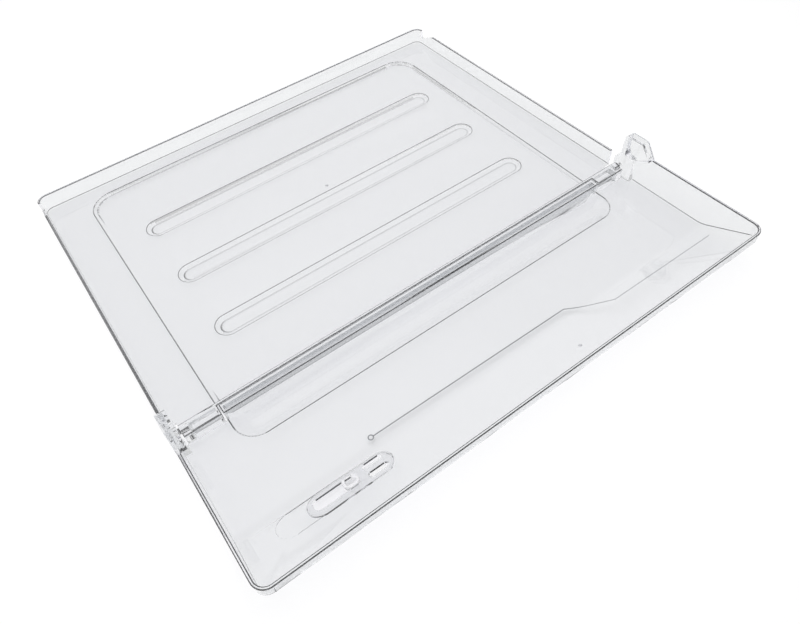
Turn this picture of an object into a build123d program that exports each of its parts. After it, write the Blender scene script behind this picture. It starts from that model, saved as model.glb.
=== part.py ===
"""Clear moulded refrigerator fruit tray: a ribbed tray, a hinged front flap and a humidity slider.

The part lies as it does on a table, walls up. X runs along the hinge, Y from the front lip to the
back wall, Z up. The origin is under the middle of the part, on the surface that it lies on.
"""
import os
from math import cos, radians, tan

from build123d import *

os.makedirs("parts", exist_ok=True)

# Overall sizes, in millimetres
width = 482.6
depth = 484.4
sheet = 2.2
wall = 2.5
edge_round = 0.8
foot_bevel = 1.0
fit_slack = 0.01

# Tray floor: a sunk panel with three long sunk grooves
panel_width = 402.0
panel_depth = 2.0
panel_run = 4.0
panel_corner = 25.0
panel_back_gap = 19.5
groove_count = 3
groove_length = 345.0
groove_width = 24.4
groove_depth = 2.7
groove_run = 5.3
groove_pitch = 77.3
groove_middle_from_hinge = 155.9
groove_shift = 4.4
mouth_round = 2.0
floor_round = 4.0
brim = 3.0
brim_thick = 1.0

# Tray walls and the notches near the back corners
tray_wall_height = 16.0
tray_corner = 10.0
tray_wall_from_hinge = 15.3
notch_back_gap = 10.0
notch_length = 23.0
notch_flat = 3.0
notch_sill = 7.0

# Hinge: tray rib, end blocks and pins
hinge_from_front = 150.2
hinge_height = 9.5
rib_from_hinge = 2.5
rib_thick = 3.0
rib_height = 10.0
block_front = 7.0
block_inner = 201.0
block_end_wall = 6.6
knuckle_diameter = 8.5
pin_diameter = 5.0
pin_chamfer = 0.6
pin_skin = 1.5
pin_end_gap = 0.3
pin_fit = 0.05
side_play = 0.8
hinge_gap = 0.4
swing_gap = 0.6

# Front flap: floor, ramp, rim and ears
rim_height = 32.0
ramp_length = 53.2
ramp_angle = 24.0
crease_radius = 30.0
flap_corner = 11.0
trough_width = 398.0
trough_reach = 29.0
trough_corner = 20.0
trough_run = 9.0
trough_round = 16.0
ear_thick = 7.9
ear_height = 46.8
ear_front_foot = 32.5
ear_front_top = 22.0
ear_back_top = 2.0
ear_back_knee = 0.3
ear_back_knee_height = 24.0
ear_back_foot = 5.5
ear_back_foot_height = 18.5
ear_round = 3.5
boss_front = 16.0
boss_front_height = 22.0
core_floor = 24.5
flange_end_gap = 1.2

# Humidity slider and its track on the ramp's outer face
track_from_side = 28.1
track_length = 96.0
track_width = 23.2
track_up_ramp = 15.9
track_sink = 0.6
slider_length = 71.0
slider_play = 0.4
slider_lift = 0.1
slider_thick = 2.6
vent_length = 17.0
vent_width = 5.2
vent_pitch = 10.6
vent_from_end = 14.4
slot_width = 11.5
slot_corner = 4.0
clip_length = 12.0
clip_from_end = 35.3
clip_play = 0.3
clip_wall = 1.8
lip_length = 7.0
lip_reach = 1.4
lip_thick = 1.2
lip_gap = 0.3

# Levels and lines that follow from the sizes
half_width = width / 2
front_y = -depth / 2
back_y = depth / 2
floor_z = sheet + panel_depth + groove_depth
hinge_y = front_y + hinge_from_front
hinge_z = floor_z + hinge_height
rib_front_y = hinge_y + rib_from_hinge
rib_back_y = rib_front_y + rib_thick
block_front_y = hinge_y - block_front
tray_wall_end_y = hinge_y + tray_wall_from_hinge
ear_inner = half_width - ear_thick
block_outer = ear_inner - side_play
flap_back_y = block_front_y - swing_gap
ramp_y = front_y + ramp_length
trough_depth = floor_z - sheet
flange_half = block_inner - flange_end_gap
flange_back_y = rib_front_y - hinge_gap
ramp_plane = Plane(origin=(0, ramp_y, floor_z), x_dir=(1, 0, 0), z_dir=(0, tan(radians(ramp_angle)), 1))
ramp_sheet = sheet * cos(radians(ramp_angle))
outer_plane = ramp_plane.offset(-ramp_sheet)
track_left = track_from_side - half_width
track_middle = track_left + track_length / 2
slider_right = track_left + track_length - slider_play
slider_middle = slider_right - slider_length / 2
slider_width = track_width - 2 * slider_play
slider_travel = track_length - slider_length - 2 * slider_play
clip_x = slider_right - clip_from_end
clip_width = slot_width - 2 * clip_play


def at_level(shapes, z):
    """The faces or edges that lie at height z."""
    return shapes.filter_by_position(Axis.Z, z - fit_slack, z + fit_slack)


def sunk_pan(x_size, y_front, y_back, corner, run, drop, top_z, bottom=0.0, brim_reach=0.0):
    """A rounded rectangle that narrows by run over its drop; a bottom radius and a flared brim are optional."""
    middle = (y_front + y_back) / 2
    y_size = y_back - y_front
    with BuildPart() as pan:
        with BuildSketch(Plane.XY.offset(top_z)):
            with Locations((0, middle)):
                RectangleRounded(x_size, y_size, corner)
        with BuildSketch(Plane.XY.offset(top_z - drop)):
            with Locations((0, middle)):
                RectangleRounded(x_size - 2 * run, y_size - 2 * run, corner - run)
        loft(ruled=True)
        if bottom > 0:
            fillet(edges().group_by(Axis.Z)[0], bottom)
        if brim_reach > 0:
            with BuildSketch(Plane.XY.offset(top_z)):
                with Locations((0, middle)):
                    RectangleRounded(x_size + 2 * brim_reach, y_size + 2 * brim_reach, corner + brim_reach)
            extrude(amount=brim_thick)
            brim_face = at_level(faces(), top_z)[0]
            fillet(brim_face.inner_wires()[0].edges(), mouth_round)
    return pan.part


def behind(y):
    """The plane across the part at y, whose kept side is the one towards the back."""
    return Plane(origin=(0, y, 0), x_dir=(1, 0, 0), z_dir=(0, 1, 0))


def ahead(y):
    """The plane across the part at y, whose kept side is the one towards the front."""
    return Plane(origin=(0, y, 0), x_dir=(1, 0, 0), z_dir=(0, -1, 0))


def sunk_slot(length, wide, run, drop, bottom=0.0, brim_reach=0.0):
    """A stadium that narrows by run over its drop; a bottom radius and a flared brim are optional."""
    with BuildPart() as slot:
        with BuildSketch():
            SlotOverall(length, wide)
        with BuildSketch(Plane.XY.offset(-drop)):
            SlotOverall(length - 2 * run, wide - 2 * run)
        loft(ruled=True)
        if bottom > 0:
            fillet(edges().group_by(Axis.Z)[0], bottom)
        if brim_reach > 0:
            with BuildSketch():
                SlotOverall(length + 2 * brim_reach, wide + 2 * brim_reach)
            extrude(amount=brim_thick)
            brim_face = at_level(faces(), 0)[0]
            fillet(brim_face.inner_wires()[0].edges(), mouth_round)
    return slot.part


# Tray floor tools: the sunk panel runs open to the rib, and the grooves lie in the panel
panel_back_y = back_y - panel_back_gap
panel_front_y = rib_front_y - panel_corner - panel_run
panel_form = (panel_width, panel_front_y, panel_back_y, panel_corner, panel_run, panel_depth)
with BuildPart() as panel_hollow:
    add(sunk_pan(*panel_form, floor_z, floor_round, brim))
    split(bisect_by=behind(rib_back_y), keep=Keep.TOP)
with BuildPart() as panel_skin:
    add(sunk_pan(*panel_form, floor_z - sheet))
    split(bisect_by=behind(rib_front_y), keep=Keep.TOP)
groove_form = (groove_length, groove_width, groove_run, groove_depth)
groove_hollow = sunk_slot(*groove_form, floor_round, brim)
groove_skin = sunk_slot(*groove_form)
groove_y = hinge_y + groove_middle_from_hinge
groove_top_z = floor_z - panel_depth

# Tray
with BuildPart() as tray:
    # Floor sheet, cut back at the front corners for the flap's hinge bosses
    with BuildSketch(Plane.XY.offset(floor_z - sheet)):
        with BuildLine():
            Polyline(
                (-half_width, tray_wall_end_y),
                (-block_outer, tray_wall_end_y),
                (-block_outer, rib_front_y),
                (block_outer, rib_front_y),
                (block_outer, tray_wall_end_y),
                (half_width, tray_wall_end_y),
                (half_width, back_y),
                (-half_width, back_y),
                close=True,
            )
        make_face()
        fillet(vertices().group_by(Axis.Y)[-1], tray_corner)
    extrude(amount=sheet)

    # Side and back walls, open to the front
    with BuildSketch(Plane.XY.offset(floor_z)):
        with Locations((0, (tray_wall_end_y + back_y) / 2)):
            Rectangle(width, back_y - tray_wall_end_y)
        fillet(vertices().group_by(Axis.Y)[-1], tray_corner)
        with Locations((0, (tray_wall_end_y + back_y) / 2 - wall)):
            with BuildSketch(mode=Mode.PRIVATE) as inside:
                Rectangle(width - 2 * wall, back_y - tray_wall_end_y)
                fillet(inside.vertices().group_by(Axis.Y)[-1], tray_corner - wall)
            add(inside.sketch, mode=Mode.SUBTRACT)
    extrude(amount=tray_wall_height)

    # Rounded corner between the walls and the floor, inside, and bevelled foot of the walls, outside
    inside_x = half_width - wall + fit_slack
    inside_y = back_y - wall + fit_slack
    corner_edges = at_level(edges(), floor_z)
    corner_edges = corner_edges.filter_by_position(Axis.X, -inside_x, inside_x)
    fillet(corner_edges.filter_by_position(Axis.Y, tray_wall_end_y + wall, inside_y), edge_round)
    foot_edges = at_level(edges(), floor_z - sheet)
    chamfer(foot_edges.filter_by_position(Axis.Y, tray_wall_end_y + wall, back_y), foot_bevel)

    # Notch in each side wall beside the back corner: upright at the back, a ramp to the front
    notch_back_y = back_y - notch_back_gap
    notch_front_y = notch_back_y - notch_length
    wall_top_z = floor_z + tray_wall_height
    with BuildSketch(Plane.YZ):
        with BuildLine():
            Polyline(
                (notch_back_y, wall_top_z),
                (notch_back_y, floor_z + notch_sill),
                (notch_back_y - notch_flat, floor_z + notch_sill),
                (notch_front_y, wall_top_z),
                close=True,
            )
        make_face()
    extrude(amount=half_width, both=True, mode=Mode.SUBTRACT)

    # Rounded top edges of the walls
    fillet(at_level(edges(), wall_top_z), edge_round)

    # Upright rib along the front edge, with a hinge block in front of it at each end
    with BuildSketch(Plane.XY.offset(floor_z - sheet)):
        with Locations((0, (rib_front_y + rib_back_y) / 2)):
            Rectangle(2 * block_outer, rib_thick)
        block_middle = (block_inner + block_outer) / 2
        with Locations((0, (block_front_y + rib_front_y) / 2)):
            with GridLocations(2 * block_middle, 1, 2, 1):
                Rectangle(block_outer - block_inner, rib_front_y - block_front_y)
    extrude(amount=sheet + rib_height)
    fillet(at_level(edges(), floor_z + rib_height), edge_round)

    # The blocks are cored from below, up to the solid end that carries the pin
    core_inner = block_inner + sheet
    core_outer = block_outer - block_end_wall
    with BuildSketch(Plane.XY.offset(floor_z - sheet)):
        with Locations((0, (block_front_y + sheet + rib_front_y) / 2)):
            with GridLocations(core_inner + core_outer, 1, 2, 1):
                Rectangle(core_outer - core_inner, rib_front_y - block_front_y - sheet)
    extrude(amount=rib_height, mode=Mode.SUBTRACT)

    # Knuckles and pins on the hinge axis
    pin_tip = half_width - pin_skin
    for side in (-1, 1):
        with BuildSketch(Plane.YZ.offset(side * core_outer)):
            with Locations((hinge_y, hinge_z)):
                Circle(knuckle_diameter / 2)
        extrude(amount=side * block_end_wall)
        with BuildSketch(Plane.YZ.offset(side * block_outer)):
            with Locations((hinge_y, hinge_z)):
                Circle(pin_diameter / 2)
        extrude(amount=side * (pin_tip - block_outer))
        tip_edges = edges().filter_by(GeomType.CIRCLE)
        chamfer(tip_edges.filter_by_position(Axis.X, side * pin_tip, side * pin_tip), pin_chamfer)

    # Sunk panel and grooves: the skin below first, then the hollow above
    add(panel_skin.part)
    with Locations((groove_shift, groove_y, groove_top_z - sheet)):
        with GridLocations(1, groove_pitch, 1, groove_count):
            add(groove_skin)
    add(panel_hollow.part, mode=Mode.SUBTRACT)
    with Locations((groove_shift, groove_y, groove_top_z)):
        with GridLocations(1, groove_pitch, 1, groove_count):
            add(groove_hollow, mode=Mode.SUBTRACT)
tray.part.label = "tray"
export_step(tray.part, "parts/tray.step")


def flap_form(inset, base_z, back_edge_y, top_z, corner):
    """A solid with the flap's floor, crease and ramp below, and rounded corners at the front."""
    form_front_y = front_y + inset
    ramp_top_z = base_z + (ramp_y - form_front_y) * tan(radians(ramp_angle))
    with BuildPart() as form:
        with BuildSketch(Plane.YZ) as side:
            with BuildLine():
                Polyline(
                    (back_edge_y, base_z),
                    (ramp_y, base_z),
                    (form_front_y, ramp_top_z),
                    (form_front_y, top_z),
                    (back_edge_y, top_z),
                    close=True,
                )
            make_face()
            fillet(side.vertices().sort_by_distance((ramp_y, base_z))[0], crease_radius)
        extrude(amount=half_width - inset, both=True)
        fillet(edges().filter_by(Axis.Z).group_by(Axis.Y)[0], corner)
    return form.part


def foot_edges_of(form, corner):
    """The edges between a flap form's sides or front and its floor, crease and ramp."""
    least_drop = cos(radians(ramp_angle)) - fit_slack
    lower_edges = form.faces().filter_by(lambda face: face.normal_at().Z < -least_drop).edges()
    side_edges = lower_edges.filter_by(lambda edge: abs(edge.center().X) > corner)
    return side_edges + lower_edges.group_by(Axis.Y)[0]


# Flap tools: the outer form, the space inside its rim, and the scooped trough beside the hinge
rim_z = floor_z + rim_height
with BuildPart() as flap_outside:
    add(flap_form(0, floor_z - sheet, flap_back_y, rim_z, flap_corner))
    chamfer(foot_edges_of(flap_outside.part, flap_corner), foot_bevel)
with BuildPart() as flap_inside:
    add(flap_form(wall, floor_z, block_front_y + wall, rim_z + wall, flap_corner - wall))
    fillet(foot_edges_of(flap_inside.part, flap_corner), edge_round)
trough_front_y = block_front_y - trough_reach
trough_back_y = block_front_y + trough_reach
trough_form = (trough_width, trough_front_y, trough_back_y, trough_corner, trough_run, trough_depth)
with BuildPart() as trough_hollow:
    add(sunk_pan(*trough_form, floor_z, trough_round, flange_half - trough_width / 2))
    split(bisect_by=ahead(block_front_y), keep=Keep.TOP)
with BuildPart() as trough_skin:
    add(sunk_pan(*trough_form, floor_z - sheet, trough_round))
    split(bisect_by=ahead(block_front_y + sheet), keep=Keep.TOP)

# Front flap
with BuildPart() as front_flap:
    add(flap_outside.part)
    add(flap_inside.part, mode=Mode.SUBTRACT)
    fillet(at_level(edges(), rim_z), edge_round)

    # Hollow flange behind the trough, open below and closed at its ends
    flange_top_z = floor_z + rib_height
    flange_bottom_z = floor_z - sheet
    flange_middle_y = (flap_back_y + flange_back_y) / 2
    with BuildSketch(Plane.XY.offset(flange_bottom_z)):
        with Locations((0, flange_middle_y)):
            Rectangle(2 * flange_half, flange_back_y - flap_back_y)
    extrude(amount=sheet)
    with BuildSketch(Plane.XY.offset(flange_bottom_z)):
        with Locations((0, (block_front_y + flange_back_y) / 2)):
            Rectangle(2 * flange_half, flange_back_y - block_front_y)
    extrude(amount=flange_top_z - flange_bottom_z)
    fillet(at_level(edges(), flange_top_z), edge_round)
    with BuildSketch(Plane.XY.offset(flange_bottom_z)):
        with Locations((0, (block_front_y + flange_back_y) / 2)):
            Rectangle(2 * (flange_half - sheet), flange_back_y - block_front_y - 2 * sheet)
    extrude(amount=flange_top_z - flange_bottom_z - sheet, mode=Mode.SUBTRACT)

    # Scooped trough: the skin below first, then the hollow above
    add(trough_skin.part)
    add(trough_hollow.part, mode=Mode.SUBTRACT)

    # Hinge bosses that rise into the ears, cored from outside, with a blind bore for each pin
    ear_top_z = floor_z + ear_height
    ear_outline = [
        (hinge_y - boss_front, floor_z - sheet),
        (hinge_y - boss_front, floor_z + boss_front_height),
        (hinge_y - ear_front_foot, rim_z),
        (hinge_y - ear_front_top, ear_top_z),
        (hinge_y - ear_back_top, ear_top_z),
        (hinge_y - ear_back_knee, floor_z + ear_back_knee_height),
        (hinge_y + ear_back_foot, floor_z + ear_back_foot_height),
        (hinge_y + ear_back_foot, floor_z - sheet),
    ]
    core_outline = [
        (hinge_y - boss_front + sheet, floor_z + core_floor),
        (hinge_y - ear_front_foot + 2 * sheet, rim_z),
        (hinge_y - ear_front_top + sheet, ear_top_z - sheet),
        (hinge_y - ear_back_top - sheet, ear_top_z - sheet),
        (hinge_y - ear_back_knee - 2 * sheet, floor_z + core_floor),
    ]
    for side in (-1, 1):
        with BuildSketch(Plane.YZ.offset(side * ear_inner)):
            with BuildLine():
                Polyline(*ear_outline, close=True)
            make_face()
            fillet(vertices().group_by(Axis.Y)[-1], ear_round)
        extrude(amount=side * ear_thick)
        with BuildSketch(Plane.YZ.offset(side * (ear_inner + sheet))):
            with BuildLine():
                Polyline(*core_outline, close=True)
            make_face()
        extrude(amount=side * (ear_thick - sheet), mode=Mode.SUBTRACT)
        with BuildSketch(Plane.YZ.offset(side * ear_inner)):
            with Locations((hinge_y, hinge_z)):
                Circle(pin_diameter / 2 + pin_fit)
        extrude(amount=side * (pin_tip + pin_end_gap - ear_inner), mode=Mode.SUBTRACT)

    # Slider track sunk in the ramp's outer face, with two vents and the slot for the slider's clip
    with BuildSketch(outer_plane):
        with Locations((track_middle, -track_up_ramp)):
            SlotOverall(track_length, track_width)
    extrude(amount=track_sink, mode=Mode.SUBTRACT)
    with BuildSketch(outer_plane):
        with Locations((slider_right - vent_from_end, -track_up_ramp)):
            with GridLocations(1, vent_pitch, 1, 2):
                SlotOverall(vent_length, vent_width)
        with Locations((clip_x - slider_travel / 2, -track_up_ramp)):
            RectangleRounded(clip_length + slider_travel + 2 * clip_play, slot_width, slot_corner)
    extrude(amount=2 * sheet, mode=Mode.SUBTRACT)
front_flap.part.label = "front_flap"
export_step(front_flap.part, "parts/front_flap.step")

# Humidity slider: a plate under the ramp with two vents and a hollow clip that reaches up the slot
plate_plane = outer_plane.offset(track_sink - slider_lift)
with BuildPart() as humidity_slider:
    with BuildSketch(plate_plane):
        with Locations((slider_middle, -track_up_ramp)):
            SlotOverall(slider_length, slider_width)
    extrude(amount=-slider_thick)
    chamfer(faces().sort_by(Axis(plate_plane.origin, plate_plane.z_dir))[0].edges(), edge_round)
    with BuildSketch(plate_plane):
        with Locations((slider_right - vent_from_end, -track_up_ramp)):
            with GridLocations(1, vent_pitch, 1, 2):
                SlotOverall(vent_length, vent_width)
    extrude(amount=-slider_thick, mode=Mode.SUBTRACT)

    # Clip through the slot, with a lip over each of the slot's long edges
    clip_rise = ramp_sheet - track_sink + slider_lift + lip_gap + lip_thick
    with BuildSketch(plate_plane):
        with Locations((clip_x, -track_up_ramp)):
            RectangleRounded(clip_length, clip_width, slot_corner)
    extrude(amount=clip_rise)
    with BuildSketch(plate_plane.offset(clip_rise - lip_thick)):
        with Locations((clip_x, -track_up_ramp)):
            Rectangle(lip_length, slot_width + 2 * lip_reach)
    extrude(amount=lip_thick)
    with BuildSketch(plate_plane.offset(clip_rise)):
        with Locations((clip_x, -track_up_ramp)):
            core_length = clip_length - 2 * clip_wall
            RectangleRounded(core_length, clip_width - 2 * clip_wall, slot_corner - clip_wall)
    extrude(amount=-clip_rise, mode=Mode.SUBTRACT)
humidity_slider.part.label = "humidity_slider"
export_step(humidity_slider.part, "parts/humidity_slider.step")
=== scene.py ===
"""Looks of the clear refrigerator fruit tray: its mouldings, print and gate marks, and the studio round them."""
import logging
import math
from dataclasses import dataclass
from enum import Enum
from typing import Any

import bmesh
import bpy
from mathutils import Matrix, Vector


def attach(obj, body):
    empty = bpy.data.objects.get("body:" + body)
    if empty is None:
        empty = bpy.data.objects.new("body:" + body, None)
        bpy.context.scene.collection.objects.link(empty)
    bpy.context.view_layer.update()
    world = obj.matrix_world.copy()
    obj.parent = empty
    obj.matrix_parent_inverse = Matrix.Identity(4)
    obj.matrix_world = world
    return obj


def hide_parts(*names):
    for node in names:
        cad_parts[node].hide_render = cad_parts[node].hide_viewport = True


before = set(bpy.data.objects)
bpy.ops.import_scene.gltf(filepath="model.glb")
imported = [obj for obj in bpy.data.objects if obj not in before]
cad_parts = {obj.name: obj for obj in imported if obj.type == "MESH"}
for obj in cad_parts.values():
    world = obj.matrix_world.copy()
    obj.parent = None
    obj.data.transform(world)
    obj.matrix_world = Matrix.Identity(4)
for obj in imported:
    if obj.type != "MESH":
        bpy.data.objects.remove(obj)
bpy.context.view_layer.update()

MM = 0.001
BEND = "bend"
WHITE = "#FFFFFF"
UP = Vector((0.0, 0.0, 1.0))
# The sRGB curve: a straight foot up to the knee, then a power
BYTE_TOP = 255
SRGB_KNEE = 0.04045
SRGB_FOOT = 12.92
SRGB_SHIFT = 0.055
SRGB_POWER = 2.4
# A Mix node's colour sockets by number, since its names repeat for each data type
MIX_A, MIX_B, MIXED = 6, 7, 2
# A Trim Curve node's length sockets by number, for the same cause
TRIM_START, TRIM_END = 4, 5

log = logging.getLogger("fruit_tray")


class Body(Enum):
    """The rigid bodies that pieces ride on."""

    TRAY = "tray"
    FLAP = "flap"
    SLIDER = "slider"


class Slot(Enum):
    """The record's material slots."""

    CLEAR = "clear_polystyrene"


def linear(hex_code: str) -> tuple[float, float, float, float]:
    """Turn an sRGB hex value into a linear colour.

    Args:
        hex_code: Six hex digits, with or without a leading hash sign.

    Returns:
        Linear red, green and blue, and an alpha of one.
    """
    digits = hex_code.lstrip("#")
    channels = []
    for start in (0, 2, 4):
        value = int(digits[start:start + 2], 16) / BYTE_TOP
        if value <= SRGB_KNEE:
            channels.append(value / SRGB_FOOT)
        else:
            channels.append(((value + SRGB_SHIFT) / (1 + SRGB_SHIFT)) ** SRGB_POWER)
    return (channels[0], channels[1], channels[2], 1.0)


def add_node(tree: bpy.types.NodeTree, kind: str, inputs: dict[Any, Any] | None = None, **settings: Any) -> Any:
    """Add a node to a tree, with its settings, values and links.

    Args:
        tree: The shader or geometry tree.
        kind: The node's type name.
        inputs: Socket name or number to a value, or to the output socket that feeds it.
        settings: Attributes of the node.

    Returns:
        The new node.
    """
    node = tree.nodes.new(kind)
    for name, value in settings.items():
        setattr(node, name, value)
    for key, value in (inputs or {}).items():
        if isinstance(value, bpy.types.NodeSocket):
            tree.links.new(value, node.inputs[key])
        else:
            node.inputs[key].default_value = value
    return node


def either(tree: bpy.types.NodeTree, *sockets: bpy.types.NodeSocket) -> bpy.types.NodeSocket:
    """Join yes-or-no sockets into one that says yes where any of them does.

    Args:
        tree: The shader tree.
        sockets: Values of zero or one.

    Returns:
        The joined socket.
    """
    joined = sockets[0]
    for socket in sockets[1:]:
        joined = add_node(tree, "ShaderNodeMath", {0: joined, 1: socket}, operation="MAXIMUM").outputs[0]
    return joined


def new_material(name: str) -> tuple[bpy.types.Material, bpy.types.NodeTree]:
    """Make an empty node material.

    Args:
        name: The material's name.

    Returns:
        The material and its cleared node tree.
    """
    material = bpy.data.materials.new(name)
    material.use_nodes = True
    material.node_tree.nodes.clear()
    return material, material.node_tree


def new_object(name: str, data: Any) -> bpy.types.Object:
    """Put a mesh, lamp or camera in the scene, at the origin.

    Args:
        name: The object's name.
        data: What the object shows.

    Returns:
        The new object.
    """
    piece = bpy.data.objects.new(name, data)
    bpy.context.scene.collection.objects.link(piece)
    return piece


def plain_copy(raw: bpy.types.Object, name: str) -> bpy.types.Object:
    """Turn an object with modifiers into a plain mesh and take the first one away.

    Args:
        raw: The object to evaluate.
        name: The new piece's name.

    Returns:
        The plain object, at the origin.
    """
    graph = bpy.context.evaluated_depsgraph_get()
    mesh = bpy.data.meshes.new_from_object(raw.evaluated_get(graph), preserve_all_data_layers=True, depsgraph=graph)
    bpy.data.objects.remove(raw)
    mesh.name = name
    return new_object(name, mesh)


def stage_piece(name: str, points: list[tuple[float, ...]], faces: list[tuple[int, ...]],
                material: bpy.types.Material) -> bpy.types.Object:
    """Make a piece of the studio from its corners.

    Args:
        name: The piece's name.
        points: Corner positions.
        faces: Corner numbers of each face.
        material: The piece's material.

    Returns:
        The new object.
    """
    mesh = bpy.data.meshes.new(name)
    mesh.from_pydata(points, [], faces)
    mesh.materials.append(material)
    piece = new_object(name, mesh)
    return piece


@dataclass(frozen=True)
class ClearPolystyrene:
    """Crystal polystyrene, injection moulded in a polished tool: water clear and glossy, with painted shade that makes
    its bends grey.
    """

    name: str = "crystal_polystyrene_moulded"
    # A faint cool grey in the sheet, and a near black painted shade on narrow bends, which stands in for the dark
    # surroundings that a bend shows
    tint: str = "#ECEDEE"
    painted_bend_shade: str = "#101113"
    # The gloss and the refraction of polystyrene
    ior: float = 1.59
    roughness: float = 0.015
    # What reaches the floor through the plastic, which gives the pale shadow with darker edges
    lamp_pass: str = "#FBFBFC"
    bend_pass: str = "#CFD0D2"
    # Light caught inside the sheet leaves it after so many turns, so that no face looks black
    most_turns: float = 8.5
    most_mirrors: float = 2.5

    def material(self) -> bpy.types.Material:
        """Build the material: a clear Principled shader that lets lamp light through to the floor."""
        material, tree = new_material(self.name)
        bend = add_node(tree, "ShaderNodeAttribute", attribute_name=BEND).outputs["Fac"]
        # Painted shade: the bend weight darkens the plastic's colour toward the near black bend shade
        tint = add_node(tree, "ShaderNodeMix", {
            0: bend, MIX_A: linear(self.tint), MIX_B: linear(self.painted_bend_shade)}, data_type="RGBA")
        plastic = add_node(tree, "ShaderNodeBsdfPrincipled", {
            "Base Color": tint.outputs[MIXED],
            "Transmission Weight": 1.0,
            "IOR": self.ior,
            "Roughness": self.roughness,
        })
        lamp_tint = add_node(tree, "ShaderNodeMix", {
            0: bend, MIX_A: linear(self.lamp_pass), MIX_B: linear(self.bend_pass)}, data_type="RGBA")
        passing = add_node(tree, "ShaderNodeBsdfTransparent", {"Color": lamp_tint.outputs[MIXED]})
        path = add_node(tree, "ShaderNodeLightPath").outputs
        turned = add_node(tree, "ShaderNodeMath", {0: path["Ray Depth"], 1: self.most_turns},
                          operation="GREATER_THAN")
        mirrored = add_node(tree, "ShaderNodeMath", {0: path["Glossy Depth"], 1: self.most_mirrors},
                            operation="GREATER_THAN")
        through = either(tree, path["Is Shadow Ray"], path["Is Diffuse Ray"], turned.outputs[0], mirrored.outputs[0])
        mix = add_node(tree, "ShaderNodeMixShader", {0: through, 1: plastic.outputs[0], 2: passing.outputs[0]})
        add_node(tree, "ShaderNodeOutputMaterial", {"Surface": mix.outputs[0]})
        return material


@dataclass(frozen=True)
class PrintInk:
    """Grey screen-print ink on the flap's outer face: matt and thin, paler to the right where it is worn."""

    name: str = "grey_ink_screen_printed"
    # A mid grey line to the eye, which fades where the ramp is handled
    colour: str = "#8E9092"
    worn_colour: str = "#B9BABC"
    worn_from: float = 60 * MM
    worn_to: float = 115 * MM
    roughness: float = 0.6

    def material(self) -> bpy.types.Material:
        """Build the material: a matt coat that fades along X."""
        material, tree = new_material(self.name)
        spot = add_node(tree, "ShaderNodeTexCoord")
        along = add_node(tree, "ShaderNodeSeparateXYZ", {0: spot.outputs["Object"]})
        wear = add_node(tree, "ShaderNodeMapRange", {
            "Value": along.outputs["X"], "From Min": self.worn_from, "From Max": self.worn_to})
        shade = add_node(tree, "ShaderNodeMix", {
            0: wear.outputs[0], MIX_A: linear(self.colour), MIX_B: linear(self.worn_colour)}, data_type="RGBA")
        ink = add_node(tree, "ShaderNodeBsdfPrincipled", {
            "Base Color": shade.outputs[MIXED], "Roughness": self.roughness})
        add_node(tree, "ShaderNodeOutputMaterial", {"Surface": ink.outputs[0]})
        return material


@dataclass(frozen=True)
class WhitePaper:
    """Matt white paper roll: white to the eye all over, with the object's soft shadow on it."""

    name: str = "matt_white_paper"
    colour: str = "#F2F2F2"
    lift: float = 0.12

    def material(self) -> bpy.types.Material:
        """Build the material: plain diffuse paper, lifted to white for the rays that the eye sees."""
        material, tree = new_material(self.name)
        paper = add_node(tree, "ShaderNodeBsdfDiffuse", {"Color": linear(self.colour)})
        strength = add_node(tree, "ShaderNodeMath", {0: seen_rays(tree), 1: self.lift}, operation="MULTIPLY")
        glow = add_node(tree, "ShaderNodeEmission", {"Color": linear(WHITE), "Strength": strength.outputs[0]})
        both = add_node(tree, "ShaderNodeAddShader", {0: paper.outputs[0], 1: glow.outputs[0]})
        add_node(tree, "ShaderNodeOutputMaterial", {"Surface": both.outputs[0]})
        return material


@dataclass(frozen=True)
class BlackCloth:
    """Black flag cloth that thins to gauze at its top: a dark line in clear edges, with no hard end."""

    name: str = "black_flag_cloth"
    colour: str = "#141414"

    def material(self, solid: float, height: float) -> bpy.types.Material:
        """Build the material: matt cloth that fades out upwards.

        Args:
            solid: Height up to which the cloth is dense.
            height: Height at which it ends.

        Returns:
            The material.
        """
        material, tree = new_material(self.name)
        cloth = add_node(tree, "ShaderNodeBsdfDiffuse", {"Color": linear(self.colour)})
        spot = add_node(tree, "ShaderNodeTexCoord")
        parts = add_node(tree, "ShaderNodeSeparateXYZ", {0: spot.outputs["Object"]})
        fade = add_node(tree, "ShaderNodeMapRange", {
            "Value": parts.outputs["Z"], "From Min": solid, "From Max": height})
        gauze = add_node(tree, "ShaderNodeBsdfTransparent")
        mix = add_node(tree, "ShaderNodeMixShader", {0: fade.outputs[0], 1: cloth.outputs[0], 2: gauze.outputs[0]})
        add_node(tree, "ShaderNodeOutputMaterial", {"Surface": mix.outputs[0]})
        return material


def seen_rays(tree: bpy.types.NodeTree) -> bpy.types.NodeSocket:
    """Give the socket that is one for rays the eye sees: straight, mirrored or through the plastic."""
    path = add_node(tree, "ShaderNodeLightPath").outputs
    return either(tree, path["Is Camera Ray"], path["Is Glossy Ray"], path["Is Transmission Ray"])


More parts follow.
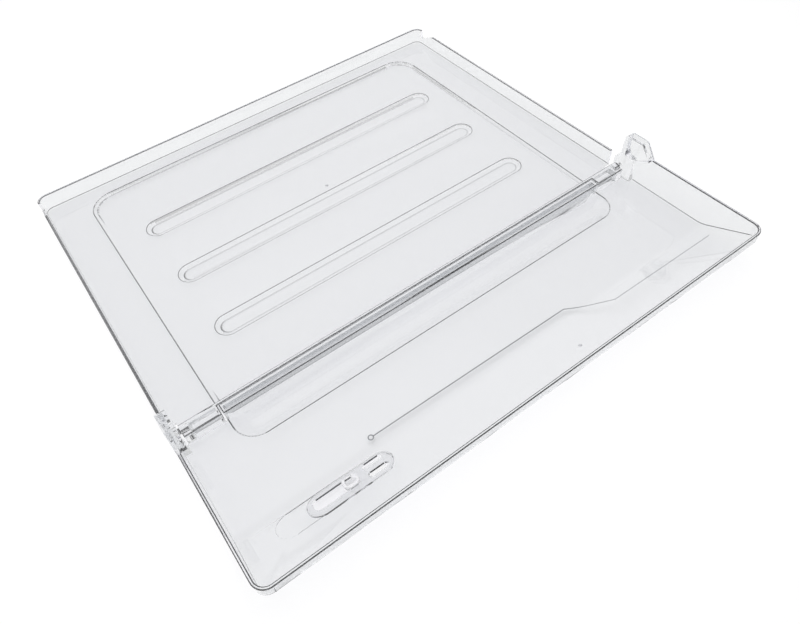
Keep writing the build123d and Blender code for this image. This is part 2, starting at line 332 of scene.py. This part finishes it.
@dataclass
class Moulding:
    """One clear moulding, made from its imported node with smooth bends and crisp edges."""

    node: str
    body: Body
    smooth_angle: float = 22.0
    merge_gap: float = 0.002 * MM
    normal_weight: int = 100
    flat_angle: float = 1.0
    bend_angle: float = 2.5
    bevel_angle: float = 30.0
    bevel_width: float = 1.6 * MM
    # Rounds and hollows get painted shade of these strengths; hollows that face +X get more of it
    round_radius: float = 2.6 * MM
    round_shade: float = 0.94
    hollow_radius: float = 5.0 * MM
    hollow_width: float = 0.25 * MM
    hollow_normal: float = 0.88
    hollow_shade: float = 0.4
    hollow_shade_right: float = 1.5
    lowest_normal: float = -0.8

    def build(self) -> bpy.types.Object:
        """Copy the node's mesh, join its loose triangles, mark its bends and smooth its normals.

        Returns:
            The new object, at the origin.
        """
        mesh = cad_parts[self.node].data.copy()
        mesh.materials.clear()
        shape = bmesh.new()
        shape.from_mesh(mesh)
        bmesh.ops.remove_doubles(shape, verts=shape.verts, dist=self.merge_gap)
        self.mark_bends(shape)
        shape.to_mesh(mesh)
        shape.free()
        mesh.shade_smooth()
        mesh.set_sharp_from_angle(angle=math.radians(self.smooth_angle))
        raw = new_object(f"{self.node}_raw", mesh)
        weigh = raw.modifiers.new("weigh", "WEIGHTED_NORMAL")
        weigh.mode = "FACE_AREA"
        weigh.weight = self.normal_weight
        weigh.keep_sharp = True
        return plain_copy(raw, f"{self.node}_moulding")

    def flat_groups(self, shape: bmesh.types.BMesh) -> list[list[bmesh.types.BMFace]]:
        """Gather the mesh's triangles into flat faces.

        Args:
            shape: The joined mesh.

        Returns:
            Lists of triangles that lie in one plane and touch.
        """
        limit = math.radians(self.flat_angle)
        seen: set[bmesh.types.BMFace] = set()
        groups = []
        for first in shape.faces:
            if first in seen:
                continue
            seen.add(first)
            group = [first]
            for face in group:
                for edge in face.edges:
                    if len(edge.link_faces) == 2 and edge.calc_face_angle() < limit:
                        fresh = [other for other in edge.link_faces if other not in seen]
                        seen.update(fresh)
                        group += fresh
            groups.append(group)
        return groups

    def bend_shade_weight(self, group: list[bmesh.types.BMFace]) -> float:
        """Tell how much painted shade a flat face gets as part of a narrow bend.

        Args:
            group: The triangles of one flat face.

        Returns:
            Zero for a plain face, up to one for a bevel.
        """
        normal = group[0].normal
        rims = [edge for face in group for edge in face.edges
                if len(edge.link_faces) == 2 and edge.calc_face_angle() > math.radians(self.bend_angle)]
        if not rims or normal.z < self.lowest_normal:
            return 0.0
        longest = max(rims, key=lambda edge: edge.calc_length())
        leans = [face.normal.angle(UP) for face in longest.link_faces]
        if abs(leans[0] - leans[1]) < math.radians(self.bend_angle):
            return 0.0
        points = [vert.co for face in group for vert in face.verts]
        low = Vector(min(point[axis] for point in points) for axis in range(3))
        high = Vector(max(point[axis] for point in points) for axis in range(3))
        width = sum(face.calc_area() for face in group) / (high - low).length
        turn = max(edge.calc_face_angle() for edge in rims if edge.calc_length() > longest.calc_length() / 2)
        # Bevels get the full painted shade, rounds a little less
        if longest.is_convex and longest.calc_face_angle() > math.radians(self.bevel_angle):
            return 1.0 if width < self.bevel_width else 0.0
        if longest.is_convex:
            return self.round_shade if width < self.round_radius * turn else 0.0
        # Hollows get a lighter painted shade, darker on facets that face +X
        if normal.z > self.hollow_normal and self.hollow_width < width < self.hollow_radius * turn:
            return min(1.0, self.hollow_shade + self.hollow_shade_right * max(0.0, normal.x))
        return 0.0

    def mark_bends(self, shape: bmesh.types.BMesh) -> None:
        """Write each face's bend weight, which tells the plastic where to paint shade along its edges.

        Args:
            shape: The joined mesh.
        """
        bend = shape.faces.layers.float.new(BEND)
        for group in self.flat_groups(shape):
            weight = self.bend_shade_weight(group)
            for face in group:
                face[bend] = weight

    def dress(self, piece: bpy.types.Object, material: bpy.types.Material) -> None:
        """Give the piece its plastic and put it in its node's place.

        Args:
            piece: The built object.
            material: The clear plastic.
        """
        piece.data.materials.clear()
        piece.data.materials.append(material)
        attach(piece, self.body.value)
        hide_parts(self.node)
        log.info("%s: %d faces", piece.name, len(piece.data.polygons))


@dataclass
class PrintedTrace:
    """The thin printed line with a ring at its left end, on the flap's outer face; places in millimetres."""

    body: Body = Body.FLAP
    ring_at: tuple[float, float] = (-120.5, -179.8)
    bend_at: tuple[float, float] = (74.6, -181.8)
    rise_to: tuple[float, float] = (109.8, -204.6)
    end_at: tuple[float, float] = (226.1, -206.1)
    start_level: float = -50.0
    ring_radius: float = 2.0 * MM
    line_width: float = 1.0 * MM
    step: float = 1.0 * MM
    stand_off: float = 0.03 * MM
    reach: float = 10.0
    halves: float = 2.0

    def tree(self, target: bpy.types.Object, ink: bpy.types.Material) -> bpy.types.NodeTree:
        """Build the node tree that lays a ribbon along a path on the underside of a moulding.

        Args:
            target: The moulding that carries the print.
            ink: The print's material.

        Returns:
            The node tree, with the ribbon's width and the ring's radius as named inputs.
        """
        tree = bpy.data.node_groups.new("printed_trace", "GeometryNodeTree")
        for name, kind in (("Path", "NodeSocketGeometry"), ("Line Width", "NodeSocketFloat"),
                           ("Ring Radius", "NodeSocketFloat")):
            tree.interface.new_socket(name, in_out="INPUT", socket_type=kind)
        tree.interface.new_socket("Print", in_out="OUTPUT", socket_type="NodeSocketGeometry")
        given = add_node(tree, "NodeGroupInput").outputs
        path = add_node(tree, "GeometryNodeMeshToCurve", {"Mesh": given["Path"]})
        ends = add_node(tree, "GeometryNodeCurveEndpointSelection", {"Start Size": 1, "End Size": 0})
        circle = add_node(tree, "GeometryNodeCurvePrimitiveCircle", {"Radius": given["Ring Radius"]})
        ring = add_node(tree, "GeometryNodeInstanceOnPoints", {
            "Points": path.outputs[0], "Selection": ends.outputs[0], "Instance": circle.outputs[0]})
        ring = add_node(tree, "GeometryNodeRealizeInstances", {0: ring.outputs[0]})
        line = add_node(tree, "GeometryNodeTrimCurve", {
            0: path.outputs[0], TRIM_START: given["Ring Radius"], TRIM_END: self.reach}, mode="LENGTH")
        line = add_node(tree, "GeometryNodeResampleCurve", {"Curve": line.outputs[0], "Length": self.step},
                        mode="LENGTH")
        both = add_node(tree, "GeometryNodeJoinGeometry")
        tree.links.new(ring.outputs[0], both.inputs[0])
        tree.links.new(line.outputs[0], both.inputs[0])
        carrier = add_node(tree, "GeometryNodeObjectInfo", {"Object": target})
        upward = add_node(tree, "GeometryNodeRaycast", {
            "Target Geometry": carrier.outputs["Geometry"], "Ray Direction": UP, "Ray Length": self.reach})
        clear = add_node(tree, "ShaderNodeVectorMath", {0: upward.outputs["Hit Position"], 1: -self.stand_off * UP},
                         operation="ADD")
        laid = add_node(tree, "GeometryNodeSetPosition", {"Geometry": both.outputs[0], "Position": clear.outputs[0]})
        level = add_node(tree, "GeometryNodeSetCurveNormal", {0: laid.outputs[0]}, mode="Z_UP")
        to_right = add_node(tree, "ShaderNodeMath", {0: given["Line Width"], 1: self.halves}, operation="DIVIDE")
        to_left = add_node(tree, "ShaderNodeMath", {0: given["Line Width"], 1: -self.halves}, operation="DIVIDE")
        left = add_node(tree, "ShaderNodeCombineXYZ", {0: to_left.outputs[0]})
        right = add_node(tree, "ShaderNodeCombineXYZ", {0: to_right.outputs[0]})
        profile = add_node(tree, "GeometryNodeCurvePrimitiveLine", {"Start": left.outputs[0], "End": right.outputs[0]})
        ribbon = add_node(tree, "GeometryNodeCurveToMesh", {0: level.outputs[0], 1: profile.outputs[0]})
        whole = add_node(tree, "GeometryNodeRealizeInstances", {0: ribbon.outputs[0]})
        inked = add_node(tree, "GeometryNodeSetMaterial", {0: whole.outputs[0], "Material": ink})
        add_node(tree, "NodeGroupOutput", {0: inked.outputs[0]})
        return tree

    def build(self, target: bpy.types.Object, ink: bpy.types.Material) -> bpy.types.Object:
        """Lay the ribbon along its path.

        Args:
            target: The flap's moulding.
            ink: The print's material.

        Returns:
            The print as a plain mesh.
        """
        sizes = {"Line Width": self.line_width, "Ring Radius": self.ring_radius}
        corners = [Vector((*spot, self.start_level)) * MM
                   for spot in (self.ring_at, self.bend_at, self.rise_to, self.end_at)]
        mesh = bpy.data.meshes.new("trace_path")
        mesh.from_pydata(corners, [(spot, spot + 1) for spot in range(len(corners) - 1)], [])
        raw = new_object("trace_path", mesh)
        layer = raw.modifiers.new("print", "NODES")
        layer.node_group = self.tree(target, ink)
        for socket in layer.node_group.interface.items_tree:
            if socket.name in sizes:
                layer[socket.identifier] = sizes[socket.name]
        return plain_copy(raw, "printed_trace")

    def dress(self, piece: bpy.types.Object) -> None:
        """Let the print ride on its body."""
        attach(piece, self.body.value)
        log.info("%s: %d faces", piece.name, len(piece.data.polygons))


@dataclass
class GateMark:
    """A small frosted disc where the moulding's gate was cut off; its place in millimetres."""

    body: Body
    spot: tuple[float, float]
    radius: float = 1.6 * MM
    top_radius: float = 1.2 * MM
    rise: float = 0.15 * MM
    start_level: float = 100.0
    sides: int = 32

    def build(self, target: bpy.types.Object) -> bpy.types.Object:
        """Set the disc on the upper face of its moulding, square to the face.

        Args:
            target: The moulding that carries the mark.

        Returns:
            The new object, at the origin.
        """
        _, place, normal, _ = target.ray_cast(Vector((*self.spot, self.start_level)) * MM, -UP)
        seat = Matrix.Translation(place + normal * self.rise / 2) @ UP.rotation_difference(normal).to_matrix().to_4x4()
        name = f"{self.body.value}_gate_mark"
        mesh = bpy.data.meshes.new(name)
        shape = bmesh.new()
        bmesh.ops.create_cone(shape, cap_ends=True, segments=self.sides, radius1=self.radius, radius2=self.top_radius,
                              depth=self.rise, matrix=seat)
        shape.to_mesh(mesh)
        shape.free()
        return new_object(name, mesh)

    def dress(self, piece: bpy.types.Object, material: bpy.types.Material) -> None:
        """Give the mark its frosted plastic and let it ride on its body.

        Args:
            piece: The built object.
            material: The frosted plastic.
        """
        piece.data.materials.append(material)
        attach(piece, self.body.value)
        log.info("%s: %d faces", piece.name, len(piece.data.polygons))


@dataclass
class Studio:
    """Pale floor, soft overhead light, white surroundings, black flags and the camera."""

    floor_size: float = 12.0
    floor_drop: float = 0.2 * MM
    sky_strength: float = 0.55
    sky_levels: tuple[tuple[float, float], ...] = ((0.0, 1.0), (0.35, 0.95), (0.6, 0.6), (0.78, 0.65), (0.92, 1.0))
    flag_radius: float = 2.5
    flag_height: float = 0.5
    flag_solid: float = 0.05
    flag_sides: int = 48
    lamp_size: float = 1.6
    lamp_power: float = 18.0
    lamp_at: tuple[float, float, float] = (0.0, 0.2, 1.6)
    camera_at: tuple[float, float, float] = (-0.21406, -0.3992, 0.4469)
    camera_right: tuple[float, float, float] = (0.80705, -0.58615, -0.07113)
    camera_up: tuple[float, float, float] = (0.49641, 0.60833, 0.61928)
    camera_back: tuple[float, float, float] = (-0.31973, -0.53511, 0.78194)
    sensor_width: float = 36.0
    lens: float = 29.767
    nearest: float = 0.01
    farthest: float = 100.0

    def build(self) -> None:
        """Set up the floor, the surroundings, the light and the camera."""
        self.floor()
        self.sky()
        self.flags()
        self.lamp()
        self.camera()
        bpy.context.scene.view_settings.view_transform = "Standard"

    def floor(self) -> None:
        """Lay the floor just under the part."""
        half = self.floor_size / 2
        corners = [(x, y, -self.floor_drop) for x, y in ((-half, -half), (half, -half), (half, half), (-half, half))]
        stage_piece("floor", corners, [(0, 1, 2, 3)], WhitePaper().material())

    def sky(self) -> None:
        """Surround the object with soft white light, a little darker half way up where the plastic mirrors it."""
        world = bpy.data.worlds.new("studio")
        bpy.context.scene.world = world
        world.use_nodes = True
        tree = world.node_tree
        tree.nodes.clear()
        soft = add_node(tree, "ShaderNodeBackground", {"Color": linear(WHITE), "Strength": self.sky_strength})
        way = add_node(tree, "ShaderNodeTexCoord")
        parts = add_node(tree, "ShaderNodeSeparateXYZ", {0: way.outputs["Generated"]})
        shade = add_node(tree, "ShaderNodeValToRGB", {0: parts.outputs["Z"]})
        stops = shade.color_ramp.elements
        for _ in self.sky_levels[len(stops):]:
            stops.new(1.0)
        for stop, (height, level) in zip(stops, self.sky_levels):
            stop.position = height
            stop.color = (level, level, level, 1.0)
        white = add_node(tree, "ShaderNodeBackground", {"Color": shade.outputs[0]})
        mix = add_node(tree, "ShaderNodeMixShader", {0: seen_rays(tree), 1: soft.outputs[0], 2: white.outputs[0]})
        add_node(tree, "ShaderNodeOutputWorld", {"Surface": mix.outputs[0]})

    def flags(self) -> None:
        """Stand a low ring of black flags round the object, which darkens the clear edges."""
        points = []
        for side in range(self.flag_sides):
            angle = math.tau * side / self.flag_sides
            foot = (self.flag_radius * math.cos(angle), self.flag_radius * math.sin(angle))
            points += [(*foot, 0.0), (*foot, self.flag_height)]
        count = len(points)
        faces = [(low, low + 1, (low + 3) % count, (low + 2) % count) for low in range(0, count, 2)]
        ring = stage_piece("black_flags", points, faces, BlackCloth().material(self.flag_solid, self.flag_height))
        ring.visible_camera = False
        ring.visible_diffuse = False
        ring.visible_shadow = False

    def lamp(self) -> None:
        """Hang a large soft box over the object, unseen in its gloss."""
        light = bpy.data.lights.new("soft_box", "AREA")
        light.size = self.lamp_size
        light.energy = self.lamp_power
        box = new_object("soft_box", light)
        box.location = self.lamp_at
        box.visible_glossy = False
        box.visible_transmission = False

    def camera(self) -> None:
        """Place the camera where the photograph was taken from."""
        data = bpy.data.cameras.new("camera")
        data.sensor_fit = "HORIZONTAL"
        data.sensor_width = self.sensor_width
        data.lens = self.lens
        data.clip_start = self.nearest
        data.clip_end = self.farthest
        turn = Matrix((self.camera_right, self.camera_up, self.camera_back)).transposed().to_4x4()
        camera = new_object("camera", data)
        camera.matrix_world = Matrix.Translation(self.camera_at) @ turn
        bpy.context.scene.camera = camera


def main() -> None:
    """Build every piece, dress it and set the stage."""
    logging.basicConfig(level=logging.INFO, format="%(name)s: %(message)s")
    clear = ClearPolystyrene().material()
    # The slider is a thinner moulding: paler in the sheet, with a lighter painted shade along its bends
    thin = ClearPolystyrene(name="crystal_polystyrene_thin", tint="#F8F8F9", painted_bend_shade="#8A8B8D").material()
    # A cut gate is torn, not polished: a dull grey spot
    frosted = ClearPolystyrene(name="crystal_polystyrene_cut", tint="#E2E3E5", roughness=0.3).material()
    tray = Moulding("tray", Body.TRAY)
    # The flap's rounds get a darker painted shade and its hollows none
    flap = Moulding("front_flap", Body.FLAP, round_shade=0.985, hollow_shade=0.0, hollow_shade_right=0.0)
    slider = Moulding("humidity_slider", Body.SLIDER)
    pieces = {}
    for moulding, plastic in ((tray, clear), (flap, clear), (slider, thin)):
        pieces[moulding.body] = moulding.build()
        moulding.dress(pieces[moulding.body], plastic)
    trace = PrintedTrace()
    trace.dress(trace.build(pieces[Body.FLAP], PrintInk().material()))
    bpy.context.view_layer.update()
    for mark in (GateMark(Body.TRAY, (5.4, 83.7)), GateMark(Body.FLAP, (48.5, -223.4))):
        mark.dress(mark.build(pieces[mark.body]), frosted)
    Studio().build()


if __name__ == "__main__":
    main()
